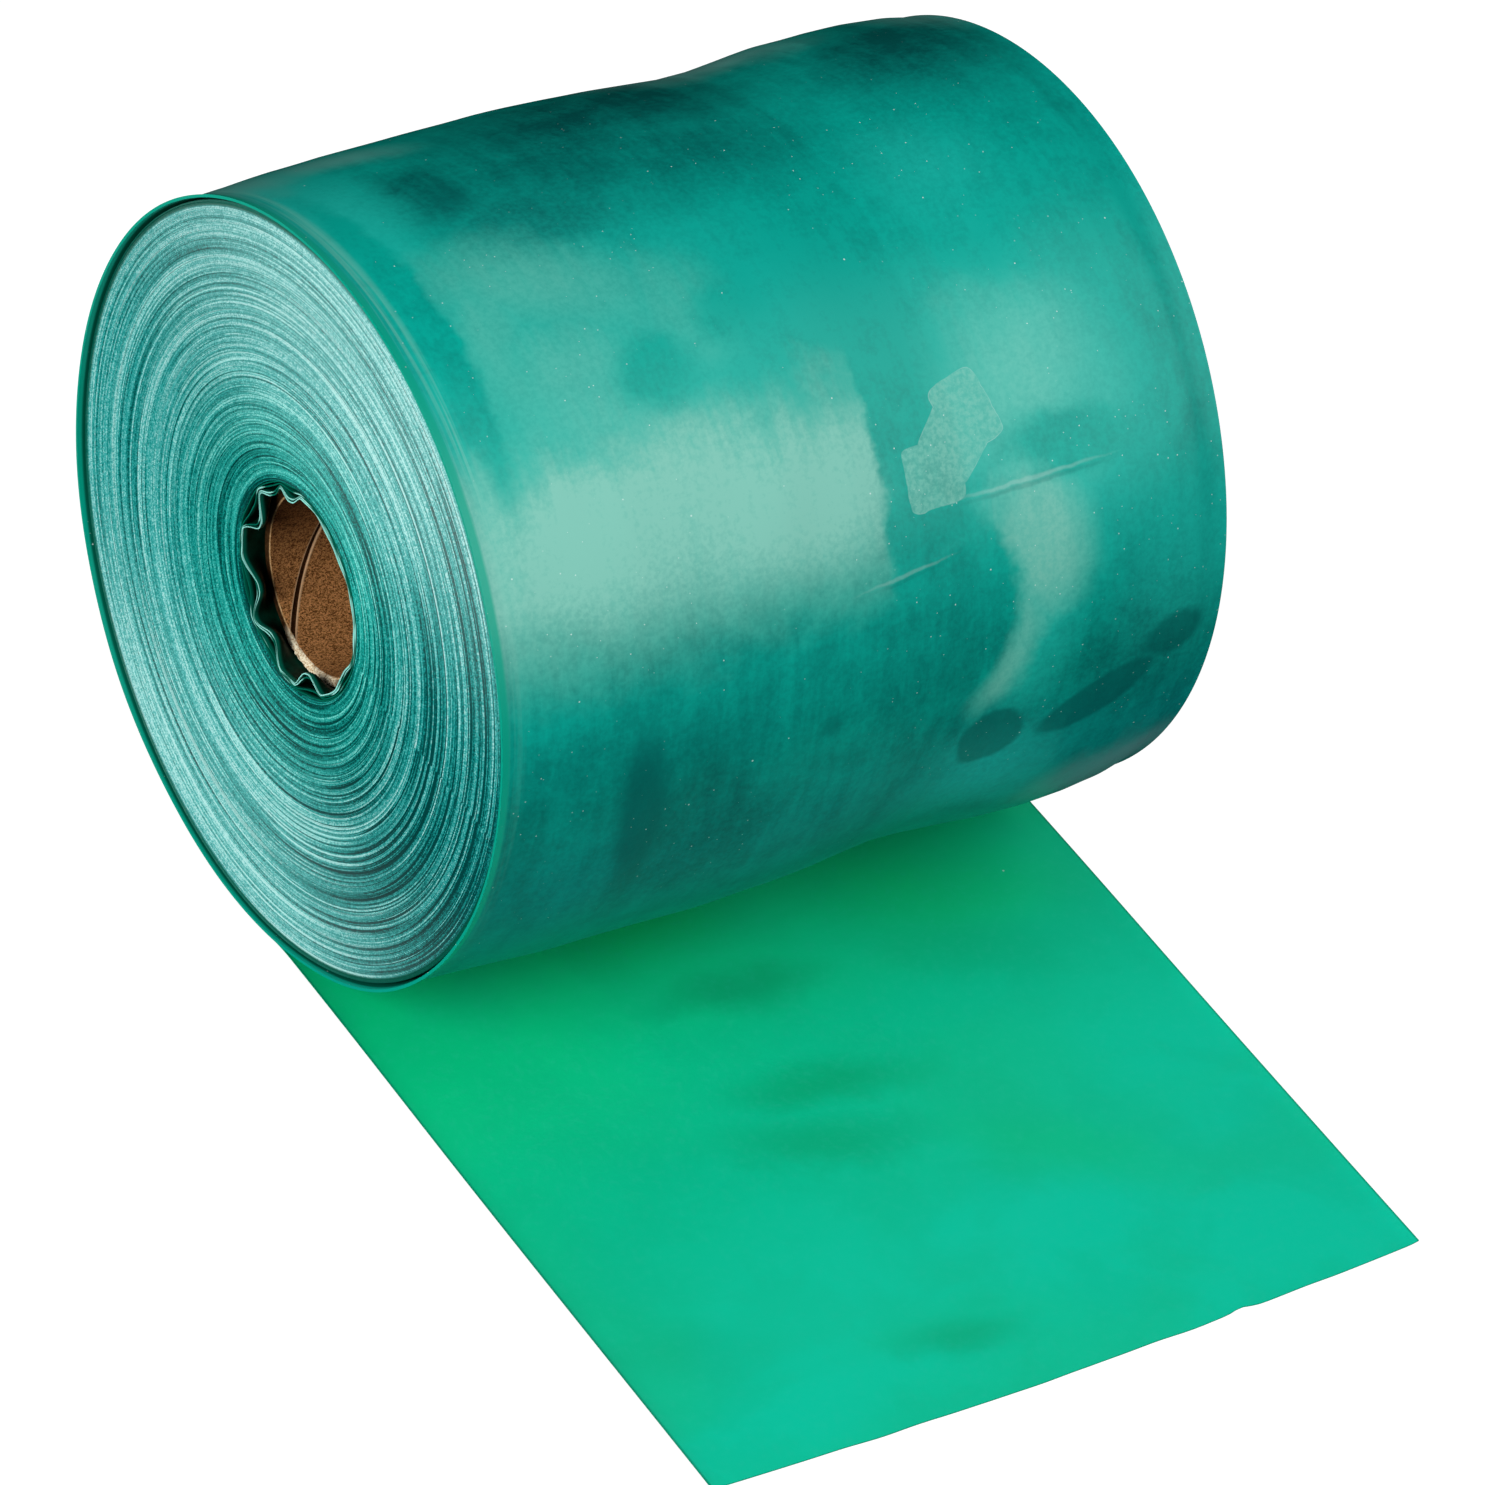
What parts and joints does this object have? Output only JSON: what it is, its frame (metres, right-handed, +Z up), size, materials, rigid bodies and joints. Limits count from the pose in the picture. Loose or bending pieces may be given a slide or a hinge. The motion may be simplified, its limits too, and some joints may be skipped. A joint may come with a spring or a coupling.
{
  "type": "resistance band roll",
  "caption": "Flat green latex exercise band wound on a paper core, free end laid out on the floor.",
  "frame": {"origin": "centre of the core's bore, half way along the roll", "axes": "+X along the roll's axis, +Y away from the free end, +Z up; the roll stands on a floor 60 mm below the origin"},
  "size_m": [0.1276, 0.1962, 0.1197],
  "materials": {
    "latex_sheet": "smooth, slightly glossy, translucent natural latex",
    "latex_roll": "many tight layers of latex, mottled where they stick together",
    "core_paper": "brown kraft board with visible fibres",
    "tape": "pale double-sided tissue tape"
  },
  "bodies": {
    "laid": {"laid_band": "latex_sheet", "paid_out_span": "latex_sheet", "stretch_span": "latex_sheet"},
    "contact": {"contact_band": "latex_sheet"},
    "roll": {"core_inner_ply": "core_paper", "core_middle_ply": "core_paper", "core_outer_ply": "core_paper", "start_tape": "tape", "inner_turns": "latex_roll", "wound_band": "latex_roll", "outer_turns": "latex_roll"},
    "tail_1": {"tail_panel_1": "latex_sheet"},
    "tail_2": {"tail_panel_2": "latex_sheet"},
    "tail_3": {"tail_panel_3": "latex_sheet"},
    "tail_4": {"tail_panel_4": "latex_sheet"},
    "tail_5": {"loose_end": "latex_sheet"}
  },
  "joints": [
    {"name": "roll_travel", "type": "slide", "parent": "laid", "child": "contact", "axis": [0, 1, 0], "range_m": [0, 0.377], "deforming": ["paid_out_span"]},
    {"name": "roll_spin", "type": "hinge", "parent": "contact", "child": "roll", "pos_m": [0, 0, 0], "axis": [-1, 0, 0], "range_deg": [0, 360.5]},
    {"name": "tail_stretch", "type": "slide", "parent": "laid", "child": "tail_1", "axis": [0, -1, 0], "range_m": [0, 0.13], "stiffness_N_per_m": 158, "deforming": ["stretch_span"]},
    {"name": "tail_curl_1", "type": "hinge", "parent": "tail_1", "child": "tail_2", "pos_m": [0, -0.083, -0.05977], "axis": [-1, 0, 0], "range_deg": [0, 30]},
    {"name": "tail_curl_2", "type": "hinge", "parent": "tail_2", "child": "tail_3", "pos_m": [0, -0.096, -0.05977], "axis": [-1, 0, 0], "range_deg": [0, 30]},
    {"name": "tail_curl_3", "type": "hinge", "parent": "tail_3", "child": "tail_4", "pos_m": [0, -0.109, -0.05977], "axis": [-1, 0, 0], "range_deg": [0, 30]},
    {"name": "tail_curl_4", "type": "hinge", "parent": "tail_4", "child": "tail_5", "pos_m": [0, -0.122, -0.05977], "axis": [-1, 0, 0], "range_deg": [0, 30]}
  ],
  "couplings": [
    {"joint": "roll_spin", "follows": "roll_travel", "rad_per_m": 16.667},
    {"joint": "tail_curl_2", "follows": "tail_curl_1", "ratio": 1},
    {"joint": "tail_curl_3", "follows": "tail_curl_1", "ratio": 1},
    {"joint": "tail_curl_4", "follows": "tail_curl_1", "ratio": 1}
  ]
}
